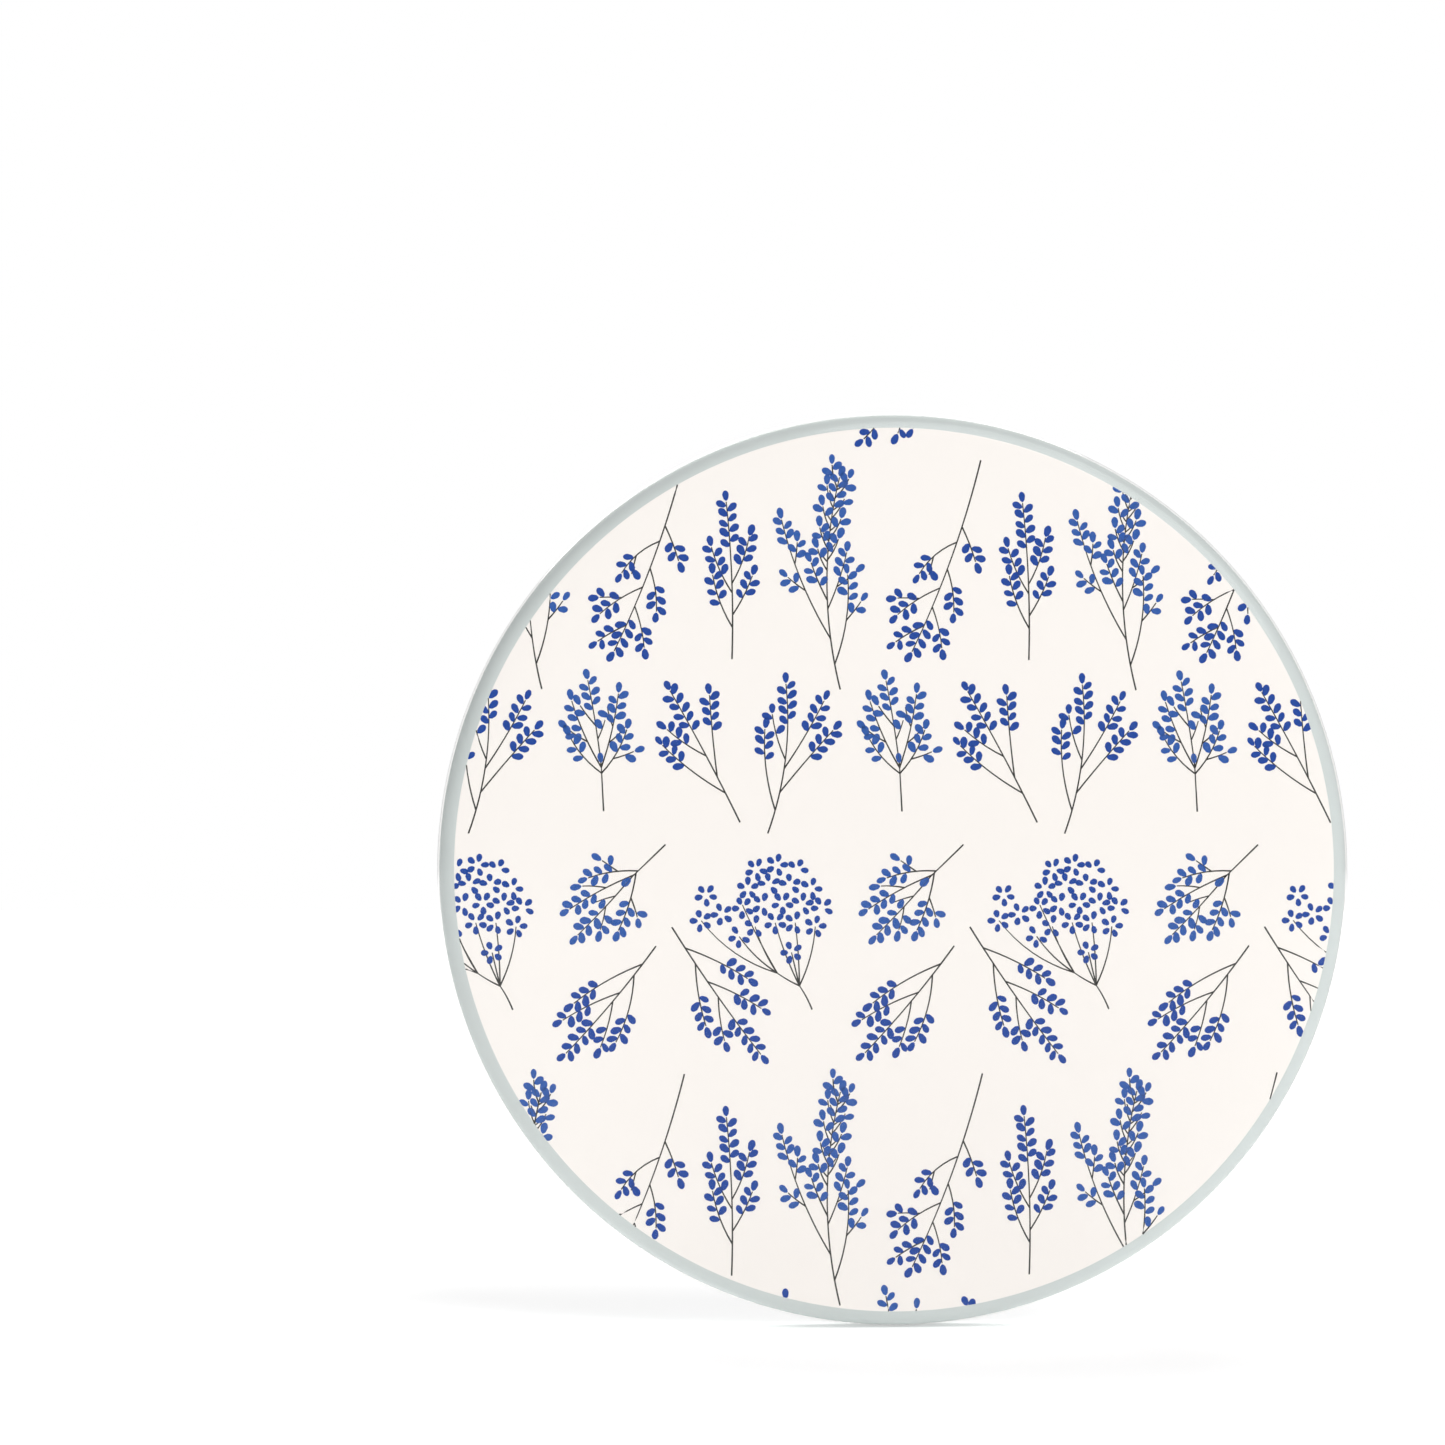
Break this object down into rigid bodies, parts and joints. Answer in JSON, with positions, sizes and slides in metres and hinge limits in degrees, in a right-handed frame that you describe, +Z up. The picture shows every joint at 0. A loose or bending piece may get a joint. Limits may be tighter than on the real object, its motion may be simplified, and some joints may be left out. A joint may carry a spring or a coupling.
{
  "type": "round button fridge magnet",
  "caption": "Round crimped tinplate button with a printed paper face under clear film and a flexible magnet disc on its back.",
  "frame": {"origin": "centre of the magnet's outer face, which is the part's back", "axes": "+Y out of the magnet's face along the button's axis, towards the steel it clings to; the printed front faces -Y; +Z up in the print"},
  "size_m": [0.058, 0.0052, 0.058],
  "materials": {
    "clear_film": "clear glossy polyester film",
    "printed_paper": "coated paper with a small blue leaf print",
    "front_shell": "bright pressed tinplate",
    "back_collet": "dark bronze-tinted pressed tinplate, drawn and semi-gloss",
    "adhesive_disc": "thin pressure-sensitive adhesive",
    "magnet_disc": "matt black flexible magnet with fine extrusion ribs"
  },
  "bodies": {
    "root": {"clear_film": "clear_film", "printed_paper": "printed_paper", "front_shell": "front_shell", "back_collet": "back_collet", "adhesive_disc": "adhesive_disc", "magnet_disc": "magnet_disc"}
  },
  "joints": []
}
